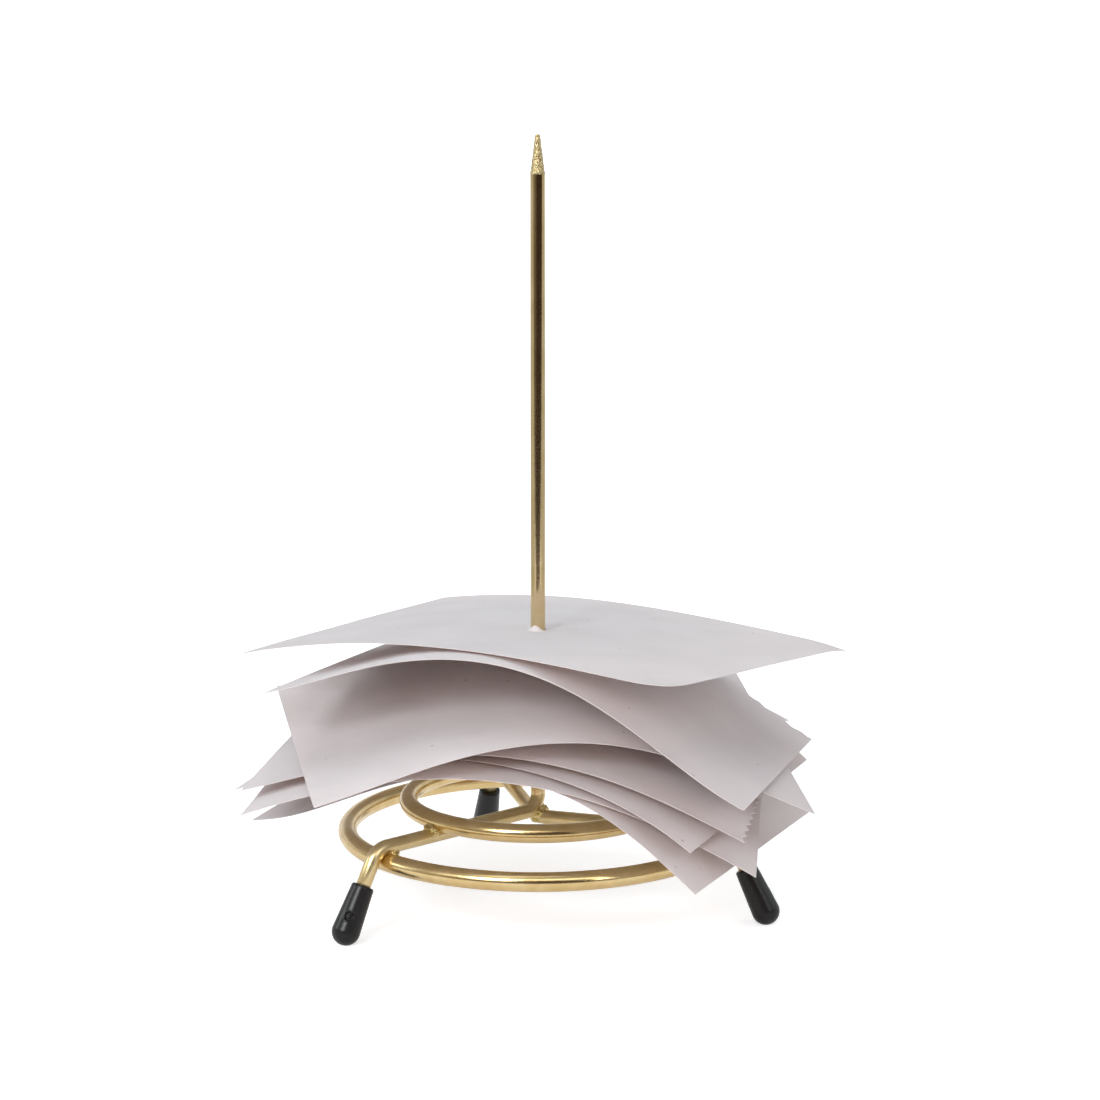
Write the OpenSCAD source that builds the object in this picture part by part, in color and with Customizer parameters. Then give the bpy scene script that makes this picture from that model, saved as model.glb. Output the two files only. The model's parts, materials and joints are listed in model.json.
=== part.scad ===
// Bill spike: a bent-wire stand with an upright spike, two welded rings, three rubber feet
// and a stack of pierced paper slips. Millimetres, +Z up.
// The origin is on the spike's axis at table height, and the front of the object looks along -Y.

/* [Spike] */
// Height of the spike's tip above the table
spike_h = 158; // [130:1:220]
// Thickness of the wire that makes the spike and the legs
wire_d = 3; // [2.4:0.1:3.6]
// Length of the ground point
point_len = 8; // [5:0.5:14]
// Width of the blunt tip
tip_d = 1; // [0.6:0.1:1.6]
// Centre-line radius of the bend from spike to leg
hub_bend_r = 3.5; // [3:0.1:6]

/* [Legs] */
// Height of the leg wires where they cross the outer ring
leg_h = 17.9; // [15:0.1:24]
// Direction of the spike's own leg
spike_leg_turn = 221; // [212:1:230]
// Direction of the right leg
right_leg_turn = 337; // [328:1:346]
// Direction of the back leg
back_leg_turn = 104; // [95:1:113]
// Climb of the spike's own leg towards the hub
spike_leg_rise = 0.7; // [0:0.1:1.5]
// Height of the spike wire above the twin-leg wire at the hub
hub_step = 1.5; // [1:0.1:2]
// Centre-line radius of the twin-leg wire's bend at the hub
twin_bend_r = 4; // [3:0.1:8]
// Centre-line radius of the crook that hooks over the outer ring
crook_r = 4; // [3.5:0.1:6]
// Lean of the leg ends from upright
leg_splay = 27.5; // [20:0.5:35]

/* [Rings] */
// Centre-line diameter of the outer ring
outer_ring_d = 79.5; // [70:0.5:95]
// Thickness of the outer ring's wire
outer_wire_d = 3.9; // [3:0.1:5]
// Centre-line diameter of the inner ring
inner_ring_d = 54; // [40:0.5:62]
// Thickness of the inner ring's wire
inner_wire_d = 3.8; // [3:0.1:5]

/* [Welds] */
// Depth to which the legs are melted into the outer ring
outer_weld_sink = 0.35; // [0.1:0.05:0.6]
// Depth to which the twin leg is melted into the inner ring
inner_weld_sink = 0.1; // [0.05:0.05:0.4]
// Depth to which the two wires are melted together at the hub
hub_weld_sink = 0.35; // [0.1:0.05:0.6]
// Thickness of the bead around each ring weld
ring_bead_d = 3.6; // [3:0.1:4.4]
// Thickness of the bead at the hub
hub_bead_d = 4.4; // [3.6:0.1:5]
// Distance of the outer beads from the ring's centre line, towards the spike
outer_bead_in = 1.3; // [0.8:0.1:1.6]
// Distance of the inner beads from the ring's centre line, away from the spike
inner_bead_out = 1.4; // [0.8:0.1:1.6]

/* [Feet] */
// Widest thickness of a rubber foot, at its round end
foot_d = 5.7; // [4.8:0.1:8]
// Thickness of a foot's upper end
foot_top_d = 4.6; // [4.2:0.1:7]
// Length of a foot from its round end to its upper end
foot_len = 12.4; // [9:0.1:14]
// Width of the chamfer around a foot's upper end
foot_rim = 0.5; // [0.2:0.05:0.6]
// Rubber between the wire's end and the tip of the foot
foot_floor = 3.2; // [2:0.1:5]
// Depth worn flat where a foot stands
foot_flat = 0.2; // [0.1:0.05:0.5]
// Width of the moulding dimple in a foot's side
dimple_d = 1.7; // [0.6:0.1:1.8]
// Depth of the moulding dimple
dimple_depth = 0.4; // [0.2:0.1:0.6]
// Distance of the dimple from the middle of the round end
dimple_up = 3.2; // [2:0.1:6]
// Turn of the dimple from the leg's own direction
dimple_turn = 38; // [0:1:359]

/* [Slips] */
// Long side of a paper slip
slip_long = 105; // [90:1:115]
// Short side of a paper slip
slip_short = 74; // [60:1:82]
// Thickness of the paper
slip_t = 0.15; // [0.1:0.05:0.25]
// Room between the spike and the pierced hole
hole_gap = 0.2; // [0.1:0.05:0.4]
// Reach from the spike over which the slips' bends are counted
bend_reach = 50; // [45:1:60]

/* [Hidden] */
$fn = 180;

// Pose of each slip, lowest first, in millimetres and degrees
// Height of the pierced hole above the top of the inner ring
slip_rise = [13.7, 15.2, 16.6, 19.2, 25.2, 32.7, 33.9];
// Turn of the long side about the spike
slip_turn = [-24.4, -4.2, -23.9, -11.5, 11.2, -15.4, -33.7];
// Place of the hole from the slip's middle, along the long side
slip_hole_x = [-1.7, 3.3, 2.9, 1.9, 0.1, -5.5, 3.4];
// Place of the hole from the slip's middle, along the short side
slip_hole_y = [-0.9, 5.2, -2.6, -0.5, 3.7, 1.2, -6.7];
// Turn of the curl's axis from the short side
slip_curl_turn = [6.5, -12.8, 5.3, -0.9, -11.3, -1.8, 13];
// Lean along the curl's axis
slip_lean = [2.4, 2.9, 3.9, 4.9, 7.3, -3.6, -2.7];
// Slope at the spike
slip_slope = [3, -3, -1.2, -2.5, 1.1, -4.5, -0.7];
// Change of slope at the spike, over the bend reach
slip_bend = [-53.6, -33.9, -29, -33.3, -42, -52.1, -9.4];
// Part of the slope that is the same on both sides of the spike, at the bend reach
slip_skew = [-16.3, -3, -7.4, -2.8, -11.3, -7.3, 4];
// Part of the slope that straightens the ends, at the bend reach
slip_ease = [27.9, 9.2, -0.5, 12.2, 23.4, 31.7, 0.9];

// Longest cell of a slip's grid, and steps along a bend
slip_cell = 5.6;
bend_steps = 14;
// Height of the cut that makes a slip's hole
hole_span = 12;

brass = [0.80, 0.65, 0.36];
weld_brass = [0.72, 0.57, 0.28];
rubber = [0.07, 0.07, 0.08];
paper = [0.84, 0.82, 0.83];

leg_turns = [spike_leg_turn, right_leg_turn, back_leg_turn];
outer_r = outer_ring_d / 2;
inner_r = inner_ring_d / 2;
outer_z = leg_h - (outer_wire_d + wire_d) / 2 + outer_weld_sink;
spike_hub_z = leg_h + spike_leg_rise;
twin_hub_z = spike_hub_z - hub_step;

// The crook's corner, so that the leg's end passes close outside the outer ring
crook_gap = 0.2;
crook_reach = (outer_wire_d + wire_d) / 2 + crook_gap;
crook_x = outer_r + (crook_reach - (leg_h - outer_z) * sin(leg_splay)) / cos(leg_splay);

// Height of a leg's centre line at a distance from the spike, from its height at the hub
function leg_z(reach, hub_z) = hub_z + (leg_h - hub_z) * reach / crook_x;

inner_z = leg_z(inner_r, twin_hub_z) + (inner_wire_d + wire_d) / 2 - inner_weld_sink;
ring_top = inner_z + inner_wire_d / 2;

// Middle of a foot's round end, and the leg wire's end inside the foot
foot_r = foot_d / 2;
foot_z = foot_r - foot_flat;
foot_x = crook_x + (leg_h - foot_z) * tan(leg_splay);
wire_stop = foot_floor - foot_r;
stop_x = foot_x - wire_stop * sin(leg_splay);
stop_z = foot_z + wire_stop * cos(leg_splay);

// The twin-leg wire bends round the far side of the spike wire's bend, sunk into it by the weld
twin_half = (right_leg_turn + 360 - back_leg_turn) % 360 / 2;
twin_open = 180 - twin_half;
twin_turn = back_leg_turn - twin_open;
hub_reach = wire_d - hub_weld_sink + hub_bend_r;
hub_fall = hub_step + hub_bend_r;
twin_touch = sqrt(hub_reach * hub_reach - hub_fall * hub_fall) - hub_bend_r;
twin_corner = twin_touch - twin_bend_r * (1 / sin(twin_open) - 1);

// A bend swells the wire a little, and the straight lengths run a little way into it
bend_swell = 0.06;
bend_lap = 0.3;

// Vector helpers
function unit(v) = v / norm(v);
function polar(r, a, z) = [r * cos(a), r * sin(a), z];

// Straight round bar between two points
module bar(from, to, d) {
    v = to - from;
    translate(from)
        rotate([0, acos(v.z / norm(v)), atan2(v.y, v.x)])
            cylinder(h = norm(v), d = d);
}

// Length that a bend at corner b takes from each of its arms
function arm_cut(a, b, c, r) = r * tan(acos(unit(b - a) * unit(c - b)) / 2);

// Arc of wire in the plane of its two arms
module elbow(a, b, c, r, d) {
    u = unit(b - a);
    w = unit(c - b);
    turn = acos(u * w);
    side = unit(w - u * (u * w));
    start = b - u * arm_cut(a, b, c, r);
    centre = start + side * r;
    x = -side;
    y = u;
    z = cross(x, y);
    multmatrix([
        [x.x, y.x, z.x, centre.x],
        [x.y, y.y, z.y, centre.y],
        [x.z, y.z, z.z, centre.z],
        [0, 0, 0, 1]
    ])
        rotate_extrude(angle = turn)
            translate([r, 0])
                circle(d = d);
}

// Wire through a row of points, with a bend radius at each inner one
module wire(points, radii, d) {
    last = len(points) - 1;
    for (i = [0:last - 1]) {
        p = points[i];
        q = points[i + 1];
        v = unit(q - p);
        from = i == 0 ? p : p + v * (arm_cut(points[i - 1], p, q, radii[i - 1]) - bend_lap);
        to = i == last - 1 ? q : q - v * (arm_cut(p, q, points[i + 2], radii[i]) - bend_lap);
        bar(from, to, d);
    }
    for (i = [1:last - 1])
        elbow(points[i - 1], points[i], points[i + 1], radii[i - 1], d + bend_swell);
}

module ring(r, z, d) {
    translate([0, 0, z])
        rotate_extrude()
            translate([r, 0])
                circle(d = d);
}

module inner_ring_shape() {
    ring(inner_r, inner_z, inner_wire_d);
}

module outer_ring_shape() {
    ring(outer_r, outer_z, outer_wire_d);
}

// Spike and its own leg in one wire, with the ground point on top
module spike_leg_shape() {
    wire(
        [
            [0, 0, spike_h - point_len],
            [0, 0, spike_hub_z],
            polar(crook_x, spike_leg_turn, leg_h),
            polar(stop_x, spike_leg_turn, stop_z)
        ],
        [hub_bend_r, crook_r],
        wire_d
    );
    translate([0, 0, spike_h - point_len])
        cylinder(h = point_len - tip_d / 2, d1 = wire_d, d2 = tip_d);
    translate([0, 0, spike_h - tip_d / 2])
        sphere(d = tip_d);
}

// Right and back leg in one wire, bent to a wide V at the hub
module twin_leg_shape() {
    wire(
        [
            polar(stop_x, right_leg_turn, stop_z),
            polar(crook_x, right_leg_turn, leg_h),
            polar(twin_corner, twin_turn, twin_hub_z),
            polar(crook_x, back_leg_turn, leg_h),
            polar(stop_x, back_leg_turn, stop_z)
        ],
        [crook_r, twin_bend_r, crook_r],
        wire_d
    );
}

module spike_leg() {
    color(brass)
        difference() {
            spike_leg_shape();
            inner_ring_shape();
            outer_ring_shape();
            twin_leg_shape();
        }
}

module twin_leg() {
    color(brass)
        difference() {
            twin_leg_shape();
            inner_ring_shape();
            outer_ring_shape();
        }
}

module inner_ring() {
    color(brass)
        inner_ring_shape();
}

module outer_ring() {
    color(brass)
        outer_ring_shape();
}

// The straight length of a leg, from the hub to the crook
module leg_bar(turn) {
    root = turn == spike_leg_turn ? [0, 0, spike_hub_z] : polar(twin_corner, twin_turn, twin_hub_z);
    bar(root, polar(crook_x, turn, leg_h), wire_d);
}

// Weld metal between the two wires at the hub
module hub_weld() {
    color(weld_brass)
        difference() {
            translate(polar(twin_touch / 2, twin_turn, (spike_hub_z + twin_hub_z) / 2))
                sphere(d = hub_bead_d);
            spike_leg_shape();
            twin_leg_shape();
        }
}

// Weld metal on the outer side of each crossing of the inner ring and a leg
module inner_ring_welds() {
    color(weld_brass)
        for (turn = leg_turns)
            difference() {
                translate(polar(inner_r + inner_bead_out, turn, inner_z - inner_wire_d / 2))
                    sphere(d = ring_bead_d);
                inner_ring_shape();
                leg_bar(turn);
            }
}

// Weld metal on the hub's side of each crossing of the outer ring and a leg
module outer_ring_welds() {
    color(weld_brass)
        for (turn = leg_turns)
            difference() {
                translate(polar(outer_r - outer_bead_in, turn, leg_h - wire_d / 2))
                    sphere(d = ring_bead_d);
                outer_ring_shape();
                leg_bar(turn);
            }
}

// Rubber cap over a leg's end: a tapered sleeve with a round end, worn flat where it stands
module foot(turn) {
    grip = foot_len - foot_r - foot_rim;
    color(rubber)
        rotate([0, 0, turn])
            difference() {
                translate([foot_x, 0, foot_z])
                    rotate([0, -leg_splay, 0])
                        difference() {
                            union() {
                                sphere(r = foot_r);
                                cylinder(h = grip, r1 = foot_r, d2 = foot_top_d);
                                translate([0, 0, grip])
                                    cylinder(h = foot_rim, d1 = foot_top_d, d2 = foot_top_d - foot_rim * 2);
                            }
                            translate([0, 0, wire_stop])
                                cylinder(h = foot_len, d = wire_d);
                            rotate([0, 0, dimple_turn])
                                translate([foot_r - dimple_depth, 0, dimple_up])
                                    rotate([0, 90, 0])
                                        cylinder(h = foot_r, d = dimple_d);
                        }
                translate([foot_x, 0, -foot_d / 2])
                    cube([foot_len, foot_len, foot_d], center = true);
            }
}

module left_foot() {
    foot(spike_leg_turn);
}

module right_foot() {
    foot(right_leg_turn);
}

module back_foot() {
    foot(back_leg_turn);
}

// Slope of a slip at a distance from the spike, across its curl
function slope_at(k, reach) =
    let (s = reach / bend_reach)
    slip_slope[k] + slip_bend[k] * s + slip_skew[k] * s * s + slip_ease[k] * s * s * s;

// Place of a point of the bent paper, level and upright, after following its slope from the spike.
// The slope is taken at the middle of each step.
function bend_place(k, reach) =
    let (
        step = reach / bend_steps,
        slopes = [for (i = [0.5:1:bend_steps]) slope_at(k, i * step)],
        ones = [for (a = slopes) 1]
    )
    step * [[for (a = slopes) cos(a)] * ones, [for (a = slopes) sin(a)] * ones];

// Place in space of a point of slip k, from its place on the flat paper
function slip_point(k, x, y) =
    let (
        c = slip_curl_turn[k],
        dx = x - slip_hole_x[k],
        dy = y - slip_hole_y[k],
        bent = bend_place(k, dx * cos(c) + dy * sin(c)),
        along = dy * cos(c) - dx * sin(c),
        lean = slip_lean[k],
        out = along * cos(lean) - bent.y * sin(lean),
        turn = slip_turn[k] + c
    )
    [
        bent.x * cos(turn) - out * sin(turn),
        bent.x * sin(turn) + out * cos(turn),
        ring_top + slip_rise[k] + bent.y * cos(lean) + along * sin(lean)
    ];

// One bent slip, with the hole that the spike made
module slip(k) {
    nx = ceil(slip_long / slip_cell);
    ny = ceil(slip_short / slip_cell);
    row = nx + 1;
    layer = row * (ny + 1);
    sheet = [
        for (j = [0:ny], i = [0:nx])
            slip_point(k, slip_long * i / nx - slip_long / 2, slip_short * j / ny - slip_short / 2)
    ];
    points = [
        for (p = sheet) p + [0, 0, slip_t / 2],
        for (p = sheet) p - [0, 0, slip_t / 2]
    ];
    upper = [
        for (j = [0:ny - 1], i = [0:nx - 1])
            let (a = j * row + i)
            each [[a, a + row, a + row + 1], [a, a + row + 1, a + 1]]
    ];
    lower = [for (f = upper) [f[2] + layer, f[1] + layer, f[0] + layer]];
    rim = concat(
        [for (i = [0:nx - 1]) i],
        [for (j = [0:ny - 1]) j * row + nx],
        [for (i = [nx:-1:1]) ny * row + i],
        [for (j = [ny:-1:1]) j * row]
    );
    sides = [
        for (i = [0:len(rim) - 1])
            let (a = rim[i], b = rim[(i + 1) % len(rim)])
            each [[a, b, b + layer], [a, b + layer, a + layer]]
    ];
    color(paper)
        difference() {
            polyhedron(points = points, faces = concat(upper, lower, sides));
            translate([0, 0, ring_top + slip_rise[k] - hole_span / 2])
                cylinder(h = hole_span, r = wire_d / 2 + hole_gap);
        }
}

spike_leg();
twin_leg();
inner_ring();
outer_ring();
hub_weld();
inner_ring_welds();
outer_ring_welds();
left_foot();
right_foot();
back_foot();
for (k = [1:len(slip_rise)])
    slip(k - 1);
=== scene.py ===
import json
import math

import bmesh
import bpy
from mathutils import Matrix, Vector, noise


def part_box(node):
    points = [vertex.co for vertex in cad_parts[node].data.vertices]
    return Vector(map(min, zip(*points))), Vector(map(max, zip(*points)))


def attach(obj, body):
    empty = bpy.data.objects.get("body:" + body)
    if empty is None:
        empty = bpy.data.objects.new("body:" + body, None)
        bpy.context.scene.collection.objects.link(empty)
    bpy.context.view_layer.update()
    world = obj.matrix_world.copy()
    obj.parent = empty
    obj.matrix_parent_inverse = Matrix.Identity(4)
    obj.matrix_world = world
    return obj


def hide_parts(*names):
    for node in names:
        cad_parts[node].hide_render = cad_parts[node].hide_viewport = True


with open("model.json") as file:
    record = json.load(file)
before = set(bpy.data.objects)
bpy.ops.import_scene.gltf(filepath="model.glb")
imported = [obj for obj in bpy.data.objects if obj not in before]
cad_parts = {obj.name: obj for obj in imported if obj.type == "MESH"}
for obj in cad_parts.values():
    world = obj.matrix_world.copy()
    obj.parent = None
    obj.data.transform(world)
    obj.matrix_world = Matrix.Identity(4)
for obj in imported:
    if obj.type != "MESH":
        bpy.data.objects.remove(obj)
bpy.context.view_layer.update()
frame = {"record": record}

# Outer ring: a closed hoop of thick wire that lies under the three legs, in the crook of each.
# Brass-plated steel wire, rolled round, butt-welded and barrel-polished after plating.
mm = 0.001
ring_wire_sides = 48
ring_steps = 240
merge_gap = 0.001 * mm
noise_low = 0.3
noise_high = 0.7
brass_patch = 4 * mm
brass_grain = 0.35 * mm
deep_below = 0.35
light_above = 0.65


def link_piece(name, bm, materials):
    """Make an object of a finished bmesh, with smooth shading and its materials."""
    mesh = bpy.data.meshes.new(name)
    bm.to_mesh(mesh)
    bm.free()
    mesh.shade_smooth()
    for material in materials:
        mesh.materials.append(material)
    piece = bpy.data.objects.new(name, mesh)
    bpy.context.scene.collection.objects.link(piece)
    return piece


def new_material(name):
    """A node material, with its node tree, its shader and its object coordinates."""
    material = bpy.data.materials.new(name)
    material.use_nodes = True
    tree = material.node_tree
    shader = tree.nodes["Principled BSDF"]
    place = tree.nodes.new("ShaderNodeTexCoord").outputs["Object"]
    return material, tree, shader, place


def noise_at(tree, place, size, detail=2.0):
    """Noise whose lumps are about as wide as size, in metres."""
    node = tree.nodes.new("ShaderNodeTexNoise")
    node.inputs["Scale"].default_value = 1 / size
    node.inputs["Detail"].default_value = detail
    tree.links.new(place, node.inputs["Vector"])
    return node.outputs["Fac"]


def ramp(tree, value, stops):
    """Colour ramp over a value, from (place, colour) stops."""
    node = tree.nodes.new("ShaderNodeValToRGB")
    elements = node.color_ramp.elements
    while len(elements) < len(stops):
        elements.new(0.5)
    for element, (where, colour) in zip(elements, stops):
        element.position = where
        element.color = (*colour, 1)
    tree.links.new(value, node.inputs["Fac"])
    return node.outputs["Color"]


def spread(tree, value, low, high):
    """Map a noise's middle range to low and high."""
    node = tree.nodes.new("ShaderNodeMapRange")
    node.inputs["From Min"].default_value = noise_low
    node.inputs["From Max"].default_value = noise_high
    node.inputs["To Min"].default_value = low
    node.inputs["To Max"].default_value = high
    tree.links.new(value, node.inputs["Value"])
    return node.outputs["Result"]


def bumps(tree, shader, layers):
    """Chain height layers of (value, height in metres) into the shader's normal."""
    normal = None
    for value, height in layers:
        node = tree.nodes.new("ShaderNodeBump")
        node.inputs["Strength"].default_value = 1.0
        node.inputs["Distance"].default_value = height
        tree.links.new(value, node.inputs["Height"])
        if normal is not None:
            tree.links.new(normal, node.inputs["Normal"])
        normal = node.outputs["Normal"]
    tree.links.new(normal, shader.inputs["Normal"])


def make_brass(name, light, deep, patch, smooth, rough, layers):
    """Plated brass: patches of two tones, roughness from smooth to rough, and bump layers of (size, height)."""
    material, tree, shader, place = new_material(name)
    shader.inputs["Metallic"].default_value = 1.0
    tone = noise_at(tree, place, patch, 3)
    tree.links.new(ramp(tree, tone, [(deep_below, deep), (light_above, light)]), shader.inputs["Base Color"])
    grain = noise_at(tree, place, brass_grain, 3)
    tree.links.new(spread(tree, grain, smooth, rough), shader.inputs["Roughness"])
    bumps(tree, shader, [(noise_at(tree, place, size, 2), height) for size, height in layers])
    return material


plated_bumps = [(3 * mm, 0.012 * mm), (0.25 * mm, 0.0005 * mm)]
tumbled_brass = make_brass(
    "tumbled_brass", (0.75, 0.57, 0.29), (0.68, 0.49, 0.225), brass_patch, 0.19, 0.25, plated_bumps
)


def roll_hoop(name, node):
    """Roll round wire into a closed hoop where the CAD ring is."""
    low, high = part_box(node)
    thick = high.z - low.z
    bm = bmesh.new()
    section = Matrix.Translation((high.x - thick / 2, 0, (low.z + high.z) / 2))
    section = section @ Matrix.Rotation(math.pi / 2, 4, "X")
    bmesh.ops.create_circle(bm, segments=ring_wire_sides, radius=thick / 2, matrix=section)
    bmesh.ops.spin(
        bm, geom=bm.verts[:] + bm.edges[:], cent=(0, 0, 0), axis=(0, 0, 1),
        angle=2 * math.pi, steps=ring_steps, use_merge=True,
    )
    bmesh.ops.remove_doubles(bm, verts=bm.verts[:], dist=merge_gap)
    bmesh.ops.recalc_face_normals(bm, faces=bm.faces[:])
    hoop = link_piece(name, bm, [tumbled_brass])
    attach(hoop, "stand")
    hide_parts(node)


roll_hoop("outer_hoop", "outer_ring")

# Twin leg: one wire that makes the right and the back leg, bent to a wide V at the hub.
# Each end hooks over the outer ring and runs down into a rubber foot; the plating is satin on both legs.
wire_thick = 3 * mm
wire_sides = 40
bend_step = math.radians(4)
leg_height = 17.9 * mm
leg_splay = math.radians(27.5)
crook_radius = 4 * mm
foot_round = 2.85 * mm
foot_flat = 0.2 * mm
foot_floor = 3.2 * mm
hub_step = 1.5 * mm
spike_leg_rise = 0.7 * mm
hub_bend_radius = 3.5 * mm
hub_sink = 0.35 * mm
twin_bend_radius = 4 * mm
satin_brass = make_brass(
    "satin_brass", (0.77, 0.62, 0.34), (0.70, 0.54, 0.27), brass_patch, 0.29, 0.35, plated_bumps
)
foot_mounts = [m for m in frame["record"]["mounts"] if "foot" in m["name"]]
foot_places = {m["name"].split("_")[0]: Vector(m["pos_m"]) for m in foot_mounts}
leg_turn = {side: math.atan2(place.y, place.x) for side, place in foot_places.items()}
foot_reach = foot_places["left"].length
outer_low, outer_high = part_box("outer_ring")
outer_thick = outer_high.z - outer_low.z
outer_radius = outer_high.x - outer_thick / 2
crook_reach = foot_reach - (leg_height - foot_round + foot_flat) * math.tan(leg_splay)
wire_stop = foot_floor - foot_round
stop_reach = foot_reach - wire_stop * math.sin(leg_splay)
stop_height = foot_round - foot_flat + wire_stop * math.cos(leg_splay)
spike_hub_height = leg_height + spike_leg_rise
twin_hub_height = spike_hub_height - hub_step
twin_open = (leg_turn["back"] - leg_turn["right"]) / 2
twin_turn = leg_turn["back"] - twin_open
hub_reach = wire_thick - hub_sink + hub_bend_radius
hub_fall = hub_step + hub_bend_radius
twin_touch = math.sqrt(hub_reach ** 2 - hub_fall ** 2) - hub_bend_radius
twin_corner = twin_touch - twin_bend_radius * (1 / math.sin(twin_open) - 1)


def polar(reach, turn, height):
    """Point at a reach from the spike's axis, a turn about it and a height."""
    return Vector((reach * math.cos(turn), reach * math.sin(turn), height))


def push_on(bm, edges, move):
    """Draw a ring of edges on by a move, and return the new ring."""
    made = bmesh.ops.extrude_edge_only(bm, edges=edges)["geom"]
    verts = [v for v in made if isinstance(v, bmesh.types.BMVert)]
    bmesh.ops.translate(bm, verts=verts, vec=move)
    ring = set(verts)
    return [e for e in made if isinstance(e, bmesh.types.BMEdge) and set(e.verts) <= ring]


def draw_wire(bm, path, bend_radii):
    """Draw round wire along a path of corners, bent at each inner corner; return its first and last ring."""
    ahead = (path[1] - path[0]).normalized()
    facing = Matrix.Translation(path[0]) @ ahead.to_track_quat("Z", "Y").to_matrix().to_4x4()
    made = bmesh.ops.create_circle(bm, segments=wire_sides, radius=wire_thick / 2, matrix=facing)
    first = list({e for v in made["verts"] for e in v.link_edges})
    ring, here = first, path[0]
    for corner, beyond, radius in zip(path[1:-1], path[2:], bend_radii):
        ahead = (corner - here).normalized()
        onward = (beyond - corner).normalized()
        turn = ahead.angle(onward)
        start = corner - ahead * radius * math.tan(turn / 2)
        ring = push_on(bm, ring, start - here)
        inward = (onward - ahead * ahead.dot(onward)).normalized()
        spun = bmesh.ops.spin(
            bm, geom=ring + list({v for e in ring for v in e.verts}), cent=start + inward * radius,
            axis=ahead.cross(onward).normalized(), angle=turn, steps=math.ceil(turn / bend_step),
        )
        ring = [e for e in spun["geom_last"] if isinstance(e, bmesh.types.BMEdge)]
        here = corner + onward * radius * math.tan(turn / 2)
    last = push_on(bm, ring, path[-1] - here)
    return first, last


def leg_end(turn):
    """The crook's corner and the wire's end in its foot, on a leg's own direction."""
    return [polar(crook_reach, turn, leg_height), polar(stop_reach, turn, stop_height)]


def finish_wire(name, node, bm, materials):
    """Close a drawn wire's open ends and put it in the CAD wire's place."""
    bmesh.ops.holes_fill(bm, edges=[e for e in bm.edges if e.is_boundary], sides=0)
    bmesh.ops.recalc_face_normals(bm, faces=bm.faces[:])
    piece = link_piece(name, bm, materials)
    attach(piece, "stand")
    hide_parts(node)


twin_bm = bmesh.new()
draw_wire(
    twin_bm,
    leg_end(leg_turn["right"])[::-1] + [polar(twin_corner, twin_turn, twin_hub_height)] + leg_end(leg_turn["back"]),
    [crook_radius, twin_bend_radius, crook_radius],
)
finish_wire("twin_leg_wire", "twin_leg", twin_bm, [satin_brass])

# Spike and its own leg: one wire that comes down the middle, bends at the hub and runs out to the front left.
# The upright is polished, the leg is satin, and the upper end is ground to a blunt point, coarse and bright.
spike_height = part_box("spike_leg")[1].z
point_length = 8 * mm
tip_thick = 1.1 * mm
point_rings = 40
point_grit = 0.06 * mm
grit_coarse = 0.55 * mm
grit_fine = 0.25 * mm
grit_start = 8
grit_outward = 0.1
tip_rings = 6
point_burr = 0.12 * mm
burr_share = 0.06
polished_brass = make_brass(
    "polished_brass", (0.74, 0.58, 0.34), (0.67, 0.51, 0.275), brass_patch, 0.11, 0.15, plated_bumps
)
coarse_brass = make_brass(
    "coarse_brass", (0.84, 0.69, 0.39), (0.26, 0.18, 0.07), 0.28 * mm, 0.2, 0.38,
    [(0.32 * mm, 0.16 * mm), (0.14 * mm, 0.07 * mm)],
)
spike_bm = bmesh.new()
point_base = Vector((0, 0, spike_height - point_length))
ring, _ = draw_wire(
    spike_bm,
    [point_base, Vector((0, 0, spike_hub_height))] + leg_end(leg_turn["left"]),
    [hub_bend_radius, crook_radius],
)
wire_faces = set(spike_bm.faces)


def draw_in(bm, ring, height, thick):
    """Draw a ring of edges up to a height and in to a thickness."""
    verts = {v for e in ring for v in e.verts}
    before = next(iter(verts)).co
    now = math.hypot(before.x, before.y)
    ring = push_on(bm, ring, (0, 0, height - before.z))
    verts = list({v for e in ring for v in e.verts})
    bmesh.ops.scale(bm, verts=verts, vec=(thick / 2 / now, thick / 2 / now, 1))
    return ring


cone_length = point_length - tip_thick / 2
for k in range(1, point_rings + 1):
    share = k / point_rings
    thick = wire_thick + (tip_thick - wire_thick) * share + point_burr * math.exp(-((share / burr_share) ** 2))
    ring = draw_in(spike_bm, ring, point_base.z + cone_length * share, thick)
for k in range(1, tip_rings):
    lift = math.pi / 2 * k / tip_rings
    ring = draw_in(
        spike_bm, ring, point_base.z + cone_length + tip_thick / 2 * math.sin(lift), tip_thick * math.cos(lift)
    )
for vert in spike_bm.verts:
    climb = (vert.co.z - point_base.z) / point_length
    if climb > 0:
        grit = noise.noise(vert.co / grit_coarse) + 0.5 * noise.noise(vert.co / grit_fine)
        grip = min(1, climb * grit_start)
        outward = Vector((vert.co.x, vert.co.y, 0)).normalized()
        vert.co += outward * min(grit_outward * point_grit, grit * point_grit) * grip
bmesh.ops.holes_fill(spike_bm, edges=[e for e in spike_bm.edges if e.is_boundary], sides=0)
for face in spike_bm.faces:
    middle = face.calc_center_median()
    if face not in wire_faces and middle.z > point_base.z:
        face.material_index = 2
    elif middle.xy.length < wire_thick and middle.z > spike_hub_height + hub_bend_radius:
        face.material_index = 1
finish_wire("spike_wire", "spike_leg", spike_bm, [satin_brass, polished_brass, coarse_brass])

# Inner ring: a smaller closed hoop of the same thick wire that lies on top of the three legs.
# It is rolled, welded and plated like the outer one.
roll_hoop("inner_hoop", "inner_ring")

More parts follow.
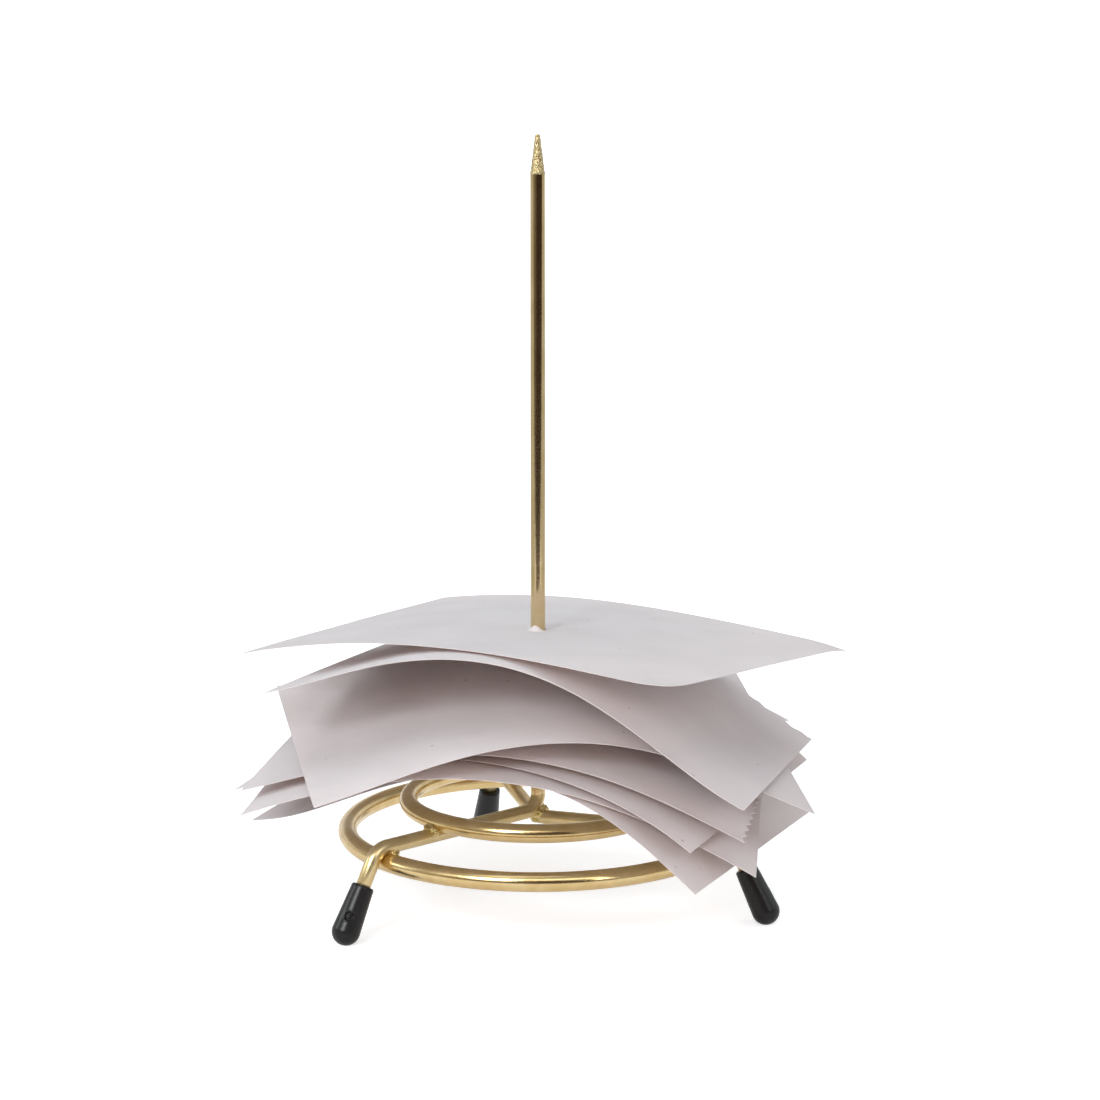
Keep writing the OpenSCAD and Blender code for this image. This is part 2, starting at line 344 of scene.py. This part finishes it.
# Welds: small beads of metal where the wires cross, at the hub and at each ring, plated with the rest.
# They are lumpy, with fine pits, and stand out a little beside the wires that they join.
weld_metal = make_brass(
    "weld_metal", (0.78, 0.62, 0.30), (0.56, 0.43, 0.16), 1 * mm, 0.16, 0.3,
    [(0.6 * mm, 0.12 * mm), (0.22 * mm, 0.03 * mm)],
)
bead_lump = 0.38 * mm
lump_coarse = 1.1 * mm
lump_fine = 0.45 * mm
lump_shift = (7.3, 3.1, 5.7)
inner_low, inner_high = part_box("inner_ring")
inner_thick = inner_high.z - inner_low.z
inner_radius = inner_high.x - inner_thick / 2
ring_bead = 3.6 * mm
hub_bead = 4.4 * mm
outer_bead_in = 1.1 * mm
inner_bead_out = 1.4 * mm
bead_squeeze = 0.82
hub_squeeze = 0.95


def add_bead(bm, place, turn, size, seed):
    """One lumpy bead: a ball drawn out along its turn, roughened by noise."""
    shape = Matrix.Translation(place) @ Matrix.Rotation(turn, 4, "Z") @ Matrix.Diagonal((*size, 1))
    made = bmesh.ops.create_icosphere(bm, subdivisions=5, radius=0.5, matrix=shape)["verts"]
    shift = Vector([seed * step for step in lump_shift])
    for vert in made:
        outward = (vert.co - place).normalized()
        lump = noise.noise(vert.co / lump_coarse + shift) + 0.5 * noise.noise(vert.co / lump_fine + shift)
        vert.co += outward * lump * bead_lump


def finish_beads(name, node, bm):
    """Put weld beads in the place of the CAD welds."""
    bmesh.ops.recalc_face_normals(bm, faces=bm.faces[:])
    beads = link_piece(name, bm, [weld_metal])
    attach(beads, "stand")
    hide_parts(node)


hub_bm = bmesh.new()
add_bead(
    hub_bm, polar(twin_touch / 2, twin_turn, (spike_hub_height + twin_hub_height) / 2), twin_turn,
    (hub_bead, hub_bead, hub_bead * hub_squeeze), 1,
)
finish_beads("hub_bead", "hub_weld", hub_bm)
inner_bm = bmesh.new()
outer_bm = bmesh.new()
for seed, turn in enumerate(leg_turn.values(), 2):
    bead = (ring_bead * bead_squeeze, ring_bead, ring_bead)
    add_bead(inner_bm, polar(inner_radius + inner_bead_out, turn, inner_low.z), turn, bead, seed)
    add_bead(outer_bm, polar(outer_radius - outer_bead_in, turn, leg_height - wire_thick / 2), turn, bead, seed + 3)
finish_beads("inner_ring_beads", "inner_ring_welds", inner_bm)
finish_beads("outer_ring_beads", "outer_ring_welds", outer_bm)

# Feet: black rubber caps pushed over the three leg ends, each with a round end, a tapered sleeve,
# a chamfered mouth and a moulding dimple in one side. They stand on a small worn flat.
foot_length = 12.4 * mm
foot_top = 4.6 * mm
foot_rim = 0.5 * mm
foot_sides = 160
foot_ring_gap = 0.14 * mm
foot_merge_gap = 0.002 * mm
foot_end_steps = 30
foot_rim_steps = 6
dimple_round = 1.0 * mm
dimple_depth = 0.6 * mm
dimple_up = 2.95 * mm
dimple_turn = math.radians(38)
dimple_wall = 0.16 * mm
bore_clear = 0.3 * mm
nub_round = 0.5 * mm
nub_share = 0.7
lip_high = 0.05 * mm
lip_out = 0.1 * mm
lip_wide = 0.14 * mm
rubber_light = (0.008, 0.0077, 0.008)
rubber_deep = (0.005, 0.0048, 0.005)
black_rubber, tree, shader, place = new_material("black_rubber")
tree.links.new(
    ramp(tree, noise_at(tree, place, 2.5 * mm, 4), [(noise_low, rubber_deep), (noise_high, rubber_light)]),
    shader.inputs["Base Color"],
)
tree.links.new(spread(tree, noise_at(tree, place, 0.5 * mm, 3), 0.29, 0.34), shader.inputs["Roughness"])
shader.inputs["Specular IOR Level"].default_value = 0.36
rubber_bumps = [(0.9 * mm, 0.005 * mm), (0.12 * mm, 0.0004 * mm)]
bumps(tree, shader, [(noise_at(tree, place, size, 1), height) for size, height in rubber_bumps])


def foot_outline():
    """Half outline of a foot from its bottom pole to the bore's floor, as (radius, height) points."""
    end_turns = [math.pi / 2 * k / foot_end_steps for k in range(foot_end_steps + 1)]
    points = [(foot_round * math.sin(a), -foot_round * math.cos(a)) for a in end_turns]
    sleeve = foot_length - foot_round - foot_rim
    steps = math.ceil(sleeve / foot_ring_gap)
    for k in range(1, steps + 1):
        points.append((foot_round + (foot_top / 2 - foot_round) * k / steps, sleeve * k / steps))
    for k in range(1, foot_rim_steps + 1):
        a = math.pi / 2 * k / foot_rim_steps
        points.append((foot_top / 2 - foot_rim * (1 - math.cos(a)), sleeve + foot_rim * math.sin(a)))
    points.append((wire_thick / 2, sleeve + foot_rim))
    points.append((wire_thick / 2, wire_stop))
    points.append((0, wire_stop))
    return points


def press_dimple(bm):
    """Press the round dimple, with its small middle nub, into the sleeve's side."""
    middle = Vector((foot_round * math.cos(dimple_turn), foot_round * math.sin(dimple_turn), dimple_up))
    for vert in bm.verts:
        out = math.hypot(vert.co.x, vert.co.y)
        if out < wire_thick / 2 + bore_clear:
            continue
        away = (vert.co - middle).length
        wall = min(1, max(0, (dimple_round - away) / dimple_wall))
        nub = min(1, max(0, (nub_round - away) / dimple_wall))
        sink = dimple_depth * (wall - nub_share * nub)
        lip = lip_high * math.exp(-(((away - dimple_round - lip_out) / lip_wide) ** 2))
        vert.co.xy -= vert.co.xy / out * (sink - lip)


def mould_foot(side):
    """Spin a foot's outline, press its dimple, tilt it on its leg and wear its end flat."""
    bm = bmesh.new()
    verts = [bm.verts.new((radius, 0, height)) for radius, height in foot_outline()]
    edges = [bm.edges.new(pair) for pair in zip(verts, verts[1:])]
    bmesh.ops.spin(
        bm, geom=verts + edges, cent=(0, 0, 0), axis=(0, 0, 1), angle=2 * math.pi, steps=foot_sides, use_merge=True,
    )
    bmesh.ops.remove_doubles(bm, verts=bm.verts[:], dist=foot_merge_gap)
    press_dimple(bm)
    stand = (
        Matrix.Rotation(leg_turn[side], 4, "Z")
        @ Matrix.Translation((foot_reach, 0, foot_round - foot_flat))
        @ Matrix.Rotation(-leg_splay, 4, "Y")
    )
    bmesh.ops.transform(bm, matrix=stand, verts=bm.verts[:])
    worn = bmesh.ops.bisect_plane(
        bm, geom=bm.verts[:] + bm.edges[:] + bm.faces[:], plane_co=(0, 0, 0), plane_no=(0, 0, 1), clear_inner=True,
    )
    bmesh.ops.edgeloop_fill(bm, edges=[e for e in worn["geom_cut"] if isinstance(e, bmesh.types.BMEdge)])
    bmesh.ops.recalc_face_normals(bm, faces=bm.faces[:])
    cap = link_piece(side + "_foot_cap", bm, [black_rubber])
    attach(cap, "stand")
    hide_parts(side + "_foot")


for side in leg_turn:
    mould_foot(side)

# Paper slips: seven A7 sheets pressed down over the spike, lowest first, each with a torn hole; all in millimetres.
# Plain uncoated paper that bends one way at a time; one has a perforated short edge, one an uneven cut.
slip_long = 105
slip_short = 74
slip_thick = 0.1
slip_cell = 0.88
edge_cuts = 4
bend_reach = 50
bend_steps = 24
hole_round = 1.62
hole_keep = 1.55
hole_fine = 3.6
hole_cuts = 3
collar_lift = 0.3
collar_even = 0.6
collar_uneven = 0.4
collar_tears = 3
collar_width = 0.45
flap_lift = 0.9
flap_turn = math.radians(278)
flap_spread = math.radians(48)
corner_reach = 7
front_corner_lift = 0.7
right_corner_lift = -0.8
perforation = 3.2
perforation_deep = 0.9
uneven_wave = 3.6
uneven_deep = 0.3
uneven_second = 0.6
uneven_rate = 1.1
edge_near = 0.01
cockle = 0.12
cockle_wave = 22
cockle_shift = 3.7
crisp_edge = math.radians(40)
ring_top = inner_high.z / mm
slip_poses = [
    dict(rise=13.7, turn=-24.4, hole=(-1.7, -0.9), curl=6.5, lean=2.4, slope=3, bend=-53.6, skew=-16.3, ease=27.9),
    dict(rise=15.2, turn=-4.2, hole=(3.3, 5.2), curl=-12.8, lean=2.9, slope=-3, bend=-33.9, skew=-3, ease=9.2),
    dict(rise=16.6, turn=-23.9, hole=(2.9, -2.6), curl=5.3, lean=3.9, slope=-1.2, bend=-29, skew=-7.4, ease=-0.5),
    dict(rise=19.2, turn=-11.5, hole=(1.9, -0.5), curl=-0.9, lean=4.9, slope=-2.5, bend=-33.3, skew=-2.8, ease=12.2),
    dict(rise=25.2, turn=11.2, hole=(0.1, 3.7), curl=-11.3, lean=7.3, slope=1.1, bend=-42, skew=-11.3, ease=23.4),
    dict(rise=32.7, turn=-15.4, hole=(-5.5, 1.2), curl=-1.8, lean=-3.6, slope=-4.5, bend=-52.1, skew=-7.3, ease=31.7),
    dict(rise=33.9, turn=-33.7, hole=(3.4, -6.7), curl=13, lean=-2.7, slope=-0.7, bend=-9.4, skew=4, ease=0.9),
]
perforated_slip = 4
uneven_slip = 6
paper_light = (0.825, 0.825, 0.845)
paper_deep = (0.77, 0.765, 0.78)
paper_through = (0.88, 0.74, 0.68)
fleck_colour = (0.40, 0.32, 0.28)
fleck_gap = 9 * mm
fleck_size = 0.5 * mm
fleck_strength = 0.65
paper_thin = 0.3
slip_paper, tree, shader, place = new_material("slip_paper")
cells = tree.nodes.new("ShaderNodeTexVoronoi")
cells.inputs["Scale"].default_value = 1 / fleck_gap
tree.links.new(place, cells.inputs["Vector"])
fleck = tree.nodes.new("ShaderNodeMapRange")
fleck.inputs["From Min"].default_value = 0.5 * fleck_size / fleck_gap
fleck.inputs["From Max"].default_value = fleck_size / fleck_gap
fleck.inputs["To Min"].default_value = fleck_strength
fleck.inputs["To Max"].default_value = 0.0
tree.links.new(cells.outputs["Distance"], fleck.inputs["Value"])
speckled = tree.nodes.new("ShaderNodeMixRGB")
speckled.inputs["Color2"].default_value = (*fleck_colour, 1)
tree.links.new(fleck.outputs["Result"], speckled.inputs["Fac"])
tree.links.new(
    ramp(tree, noise_at(tree, place, 14 * mm, 5), [(noise_low, paper_deep), (noise_high, paper_light)]),
    speckled.inputs["Color1"],
)
tree.links.new(speckled.outputs["Color"], shader.inputs["Base Color"])
tree.links.new(spread(tree, noise_at(tree, place, 1.5 * mm, 3), 0.72, 0.86), shader.inputs["Roughness"])
shader.inputs["Specular IOR Level"].default_value = 0.3
through = tree.nodes.new("ShaderNodeBsdfTranslucent")
through.inputs["Color"].default_value = (*paper_through, 1)
thin = tree.nodes.new("ShaderNodeMixShader")
thin.inputs["Fac"].default_value = paper_thin
tree.links.new(shader.outputs["BSDF"], thin.inputs[1])
tree.links.new(through.outputs["BSDF"], thin.inputs[2])
tree.links.new(thin.outputs["Shader"], tree.nodes["Material Output"].inputs["Surface"])
paper_bumps = [(9 * mm, 0.2 * mm), (0.5 * mm, 0.03 * mm)]
bumps(tree, shader, [(noise_at(tree, place, size, 4), height) for size, height in paper_bumps])


def slope_at(pose, across):
    """Slope of a bent slip at a distance across its bend from the spike."""
    s = across / bend_reach
    return math.radians(pose["slope"] + pose["bend"] * s + pose["skew"] * s * s + pose["ease"] * s ** 3)


def slip_point(pose, x, y, lift):
    """Place in millimetres of a point of the flat slip, lifted off its face, after the slip's bend, lean and turn."""
    curl, lean, turn = (math.radians(a) for a in (pose["curl"], pose["lean"], pose["turn"] + pose["curl"]))
    dx, dy = x - pose["hole"][0], y - pose["hole"][1]
    across = dx * math.cos(curl) + dy * math.sin(curl)
    along = dy * math.cos(curl) - dx * math.sin(curl)
    step = across / bend_steps
    level = -lift * math.sin(slope_at(pose, across))
    upright = lift * math.cos(slope_at(pose, across))
    for i in range(bend_steps):
        slope = slope_at(pose, (i + 0.5) * step)
        level += step * math.cos(slope)
        upright += step * math.sin(slope)
    out = along * math.cos(lean) - upright * math.sin(lean)
    return Vector((
        level * math.cos(turn) - out * math.sin(turn),
        level * math.sin(turn) + out * math.cos(turn),
        ring_top + pose["rise"] + upright * math.cos(lean) + along * math.sin(lean),
    ))


def tear_hole(bm, hole):
    """Open the finely cut sheet around the spike, and draw the torn edge to the hole's round."""
    near = [e for e in bm.edges if all((v.co.xy - hole).length < hole_fine for v in e.verts)]
    bmesh.ops.subdivide_edges(bm, edges=near, cuts=hole_cuts, use_grid_fill=True)
    inside = [v for v in bm.verts if (v.co.xy - hole).length < hole_keep]
    bmesh.ops.delete(bm, geom=inside, context="VERTS")
    for vert in bm.verts:
        away = vert.co.xy - hole
        if vert.is_boundary and away.length < 2 * hole_round:
            vert.co.xy = hole + away.normalized() * hole_round


def cut_edges(bm, number):
    """Perforate the right short edge of one slip, and leave the back long edge of another uneven."""
    right_edge = slip_long / 2 - edge_near
    back_edge = slip_short / 2 - edge_near
    right = [e for e in bm.edges if all(v.co.x > right_edge for v in e.verts)]
    back = [e for e in bm.edges if all(v.co.y > back_edge for v in e.verts)]
    bmesh.ops.subdivide_edges(bm, edges=right + back, cuts=edge_cuts)
    for vert in bm.verts:
        if number == perforated_slip and vert.co.x > right_edge:
            phase = (vert.co.y / perforation) % 1
            vert.co.x -= perforation_deep * abs(2 * phase - 1)
        if number == uneven_slip and vert.co.y > back_edge:
            wave = math.sin(2 * math.pi * vert.co.x / uneven_wave) + uneven_second * math.sin(vert.co.x * uneven_rate)
            vert.co.y -= uneven_deep * (1 + wave)


def curl_corner(x, y, y_side, lift):
    """Lift of a point on a slip whose right corner, on the given side of y, curls about a line across it."""
    inward = (slip_long / 2 - x + slip_short / 2 - y * y_side) / math.sqrt(2)
    return lift * max(0, 1 - inward / corner_reach) ** 2


def lay_slip(number, pose):
    """Cut a flat slip, tear its hole, give it its thickness, bend it and lay it on the spike."""
    bm = bmesh.new()
    bmesh.ops.create_grid(
        bm, x_segments=math.ceil(slip_long / slip_cell), y_segments=math.ceil(slip_short / slip_cell), size=0.5,
        matrix=Matrix.Diagonal((slip_long, slip_short, 1, 1)),
    )
    hole = Vector(pose["hole"])
    tear_hole(bm, hole)
    cut_edges(bm, number)
    bmesh.ops.solidify(bm, geom=bm.faces[:], thickness=slip_thick)
    for vert in bm.verts:
        away = vert.co.xy - hole
        around = (math.atan2(away.y, away.x) - flap_turn + math.pi) % (2 * math.pi) - math.pi
        flap = flap_lift * math.exp(-((around / flap_spread) ** 2)) * (number == len(slip_poses))
        torn = collar_lift * (collar_even + collar_uneven * math.sin(collar_tears * around + number)) + flap
        lift = torn * math.exp(-(((away.length - hole_round) / collar_width) ** 2))
        free = min(1, away.length / bend_reach)
        spot = Vector((vert.co.x / cockle_wave, vert.co.y / cockle_wave, number * cockle_shift))
        wavy = cockle * free * noise.noise(spot)
        if number == len(slip_poses):
            lift += curl_corner(vert.co.x, vert.co.y, -1, front_corner_lift)
            lift += curl_corner(vert.co.x, vert.co.y, 1, right_corner_lift)
        vert.co = slip_point(pose, vert.co.x, vert.co.y, vert.co.z + lift + wavy)
    bmesh.ops.scale(bm, verts=bm.verts[:], vec=(mm, mm, mm))
    bmesh.ops.recalc_face_normals(bm, faces=bm.faces[:])
    for edge in bm.edges:
        edge.smooth = edge.calc_face_angle(0) < crisp_edge
    name = "slip_" + str(number)
    sheet = link_piece(name + "_sheet", bm, [slip_paper])
    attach(sheet, name)
    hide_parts(name)


for number, pose in enumerate(slip_poses, 1):
    lay_slip(number, pose)

# Studio: a white sweep under and behind the object, soft boxes overhead, at the left and on both sides, and a warm
# fill from the front. Cards and mats glow with painted tones and show only in gloss, as painted reflections: a dark
# room in front with a bright strip over it, dim sides and a pale floor behind.
sweep_depth = 1.6
sweep_front = -2.2
sweep_half = 3.0
sweep_round = 0.7
sweep_steps = 15
sweep_height = 2.6
sweep_colour = (0.8, 0.8, 0.8)
glow_colour = (0.965, 1.01, 1.045)
floor_glow = 0.59
wall_glow = 0.95
wall_away = 1.5
gloss_share = 0.35
seen_white = 1.0
room_colour = (0.93, 0.97, 1.0)
room_strength = 0.46
lamp_aim = Vector((0, 0, 0.05))
lamp_white = (0.93, 0.97, 1.0)
warm_fill = (1.0, 0.60, 0.45)
soft_boxes = {
    "top_box": ((-0.1, 0.15, 1.0), (1.4, 1.0), 4.3, lamp_white, True),
    "left_box": ((-0.5, -0.95, 0.62), (0.4, 0.3), 6.0, lamp_white, True),
    "left_side_box": ((-1.2, 0.0, 0.55), (0.5, 0.5), 3.0, lamp_white, True),
    "right_side_box": ((1.2, 0.0, 0.55), (0.8, 0.8), 1.9, lamp_white, True),
    "right_box": ((0.66, -0.9, 0.42), (0.09, 0.3), 0.8, lamp_white, True),
    "front_fill": ((0.0, -1.3, 0.3), (1.2, 0.5), 7.0, warm_fill, False),
}
# Glowing tones of the gloss-only cards: painted reflections of a dark room, a bright strip, dim sides and a pale
# floor.
dark_room_reflection = [
    (0, (0.50, 0.46, 0.38)), (0.26, (0.32, 0.29, 0.23)), (0.39, (0.14, 0.12, 0.09)), (0.477, (0.05, 0.033, 0.027)),
    (0.742, (0.05, 0.033, 0.027)), (0.894, (0.20, 0.19, 0.15)), (1, (0.60, 0.58, 0.50)),
]
strip_end = (0.6, 0.6, 0.6)
strip_middle = (2.4, 2.4, 2.4)
bright_strip_reflection = [(0, strip_end), (0.35, strip_middle), (0.65, strip_middle), (1, strip_end)]
side_tone = (0.58, 0.58, 0.54)
dim_side_reflection = [(0, side_tone), (1, side_tone)]
back_tone = (0.95, 0.95, 0.95)
pale_floor_reflection = [(0, back_tone), (1, back_tone)]
upright = math.pi / 2
cards = {
    "room_card": ((0, -1.1, 0.36), (6.6, 0.72), upright, dark_room_reflection),
    "room_mat": ((0, -0.685, 0.001), (4.4, 0.83), 0, dark_room_reflection),
    "strip_card": ((0, -1.1, 1.05), (5.0, 0.55), upright, bright_strip_reflection),
    "back_mat": ((0, 0.44, 0.001), (0.48, 0.86), 0, pale_floor_reflection),
    "left_mat": ((-1.62, 0.315, 0.001), (2.75, 1.17), 0, dim_side_reflection),
    "right_mat": ((1.62, 0.315, 0.001), (2.75, 1.17), 0, dim_side_reflection),
}


def seen_rays(tree, gloss):
    """1 for rays from the camera, a lesser share for rays from gloss, else 0."""
    light_path = tree.nodes.new("ShaderNodeLightPath")
    total = tree.nodes.new("ShaderNodeMath")
    total.operation = "MULTIPLY_ADD"
    total.inputs[1].default_value = gloss
    tree.links.new(light_path.outputs["Is Glossy Ray"], total.inputs[0])
    tree.links.new(light_path.outputs["Is Camera Ray"], total.inputs[2])
    return total.outputs[0]


def sweep_material():
    """Plain matt white, with a glow for seen rays that grows away from the object."""
    material = bpy.data.materials.new("sweep_white")
    material.use_nodes = True
    tree = material.node_tree
    tree.nodes.clear()
    matt = tree.nodes.new("ShaderNodeBsdfDiffuse")
    matt.inputs["Color"].default_value = (*sweep_colour, 1)
    place = tree.nodes.new("ShaderNodeTexCoord").outputs["Object"]
    away = tree.nodes.new("ShaderNodeVectorMath")
    away.operation = "LENGTH"
    tree.links.new(place, away.inputs[0])
    glow = tree.nodes.new("ShaderNodeMapRange")
    glow.inputs["From Max"].default_value = wall_away
    glow.inputs["To Min"].default_value = floor_glow
    glow.inputs["To Max"].default_value = wall_glow
    tree.links.new(away.outputs["Value"], glow.inputs["Value"])
    scale = tree.nodes.new("ShaderNodeMath")
    scale.operation = "MULTIPLY"
    tree.links.new(glow.outputs["Result"], scale.inputs[0])
    tree.links.new(seen_rays(tree, gloss_share), scale.inputs[1])
    shine = tree.nodes.new("ShaderNodeEmission")
    shine.inputs["Color"].default_value = (*glow_colour, 1)
    tree.links.new(scale.outputs[0], shine.inputs["Strength"])
    both = tree.nodes.new("ShaderNodeAddShader")
    tree.links.new(matt.outputs[0], both.inputs[0])
    tree.links.new(shine.outputs[0], both.inputs[1])
    output = tree.nodes.new("ShaderNodeOutputMaterial")
    tree.links.new(both.outputs[0], output.inputs["Surface"])
    return material


def card_material(name, width, stops):
    """Glowing tones across a card, from its left end to its right end, for painted reflections."""
    material = bpy.data.materials.new(name)
    material.use_nodes = True
    tree = material.node_tree
    tree.nodes.clear()
    place = tree.nodes.new("ShaderNodeTexCoord").outputs["Object"]
    split = tree.nodes.new("ShaderNodeSeparateXYZ")
    tree.links.new(place, split.inputs["Vector"])
    across = tree.nodes.new("ShaderNodeMapRange")
    across.inputs["From Min"].default_value = -width / 2
    across.inputs["From Max"].default_value = width / 2
    tree.links.new(split.outputs["X"], across.inputs["Value"])
    tone = tree.nodes.new("ShaderNodeEmission")
    tree.links.new(ramp(tree, across.outputs["Result"], stops), tone.inputs["Color"])
    output = tree.nodes.new("ShaderNodeOutputMaterial")
    tree.links.new(tone.outputs[0], output.inputs["Surface"])
    return material


sweep_bm = bmesh.new()
arc = [math.pi / 2 * k / sweep_steps for k in range(sweep_steps + 1)]
outline = [(sweep_front, 0)]
outline += [
    (sweep_depth - sweep_round + sweep_round * math.sin(a), sweep_round - sweep_round * math.cos(a)) for a in arc
]
outline += [(sweep_depth, sweep_height)]
verts = [sweep_bm.verts.new((-sweep_half, y, z)) for y, z in outline]
edges = [sweep_bm.edges.new(pair) for pair in zip(verts, verts[1:])]
push_on(sweep_bm, edges, (2 * sweep_half, 0, 0))
bmesh.ops.recalc_face_normals(sweep_bm, faces=sweep_bm.faces[:])
sweep = link_piece("sweep", sweep_bm, [sweep_material()])

for name, (spot, size, tilt, stops) in cards.items():
    card_bm = bmesh.new()
    bmesh.ops.create_grid(
        card_bm, x_segments=1, y_segments=1, size=0.5,
        matrix=Matrix.Translation(spot) @ Matrix.Rotation(tilt, 4, "X") @ Matrix.Diagonal((*size, 1, 1)),
    )
    card = link_piece(name, card_bm, [card_material(name + "_tone", size[0], stops)])
    # The cards glow but are seen only in gloss, so they paint reflections and highlights.
    card.visible_camera = card.visible_diffuse = card.visible_shadow = False

for name, (spot, size, watts, colour, in_gloss) in soft_boxes.items():
    lamp = bpy.data.lights.new(name, "AREA")
    lamp.shape = "RECTANGLE"
    lamp.size, lamp.size_y = size
    lamp.energy = watts
    lamp.color = colour
    soft_box = bpy.data.objects.new(name, lamp)
    soft_box.location = spot
    soft_box.visible_glossy = in_gloss
    soft_box.rotation_euler = (lamp_aim - Vector(spot)).to_track_quat("-Z", "Y").to_euler()
    bpy.context.scene.collection.objects.link(soft_box)

world = bpy.data.worlds.new("room")
bpy.context.scene.world = world
world.use_nodes = True
tree = world.node_tree
background = tree.nodes["Background"]
lit = [c * room_strength for c in room_colour]
tree.links.new(
    ramp(tree, seen_rays(tree, 0), [(0, lit), (1, (seen_white, seen_white, seen_white))]), background.inputs["Color"]
)

# Camera: a long lens, a little above the slips, tipped down to the stand.
# Lens, place and tilt come from the fit of the rings, legs and slips to the photograph.
camera_lens = 87.75
camera_sensor = 36
camera_place = (2.48 * mm, -542.7 * mm, 168 * mm)
camera_tilt = math.radians(80.12)
camera_data = bpy.data.cameras.new("camera")
camera_data.lens = camera_lens
camera_data.sensor_width = camera_sensor
camera = bpy.data.objects.new("camera", camera_data)
camera.location = camera_place
camera.rotation_euler = (camera_tilt, 0, 0)
bpy.context.scene.collection.objects.link(camera)
bpy.context.scene.camera = camera
bpy.context.scene.view_settings.view_transform = "Standard"
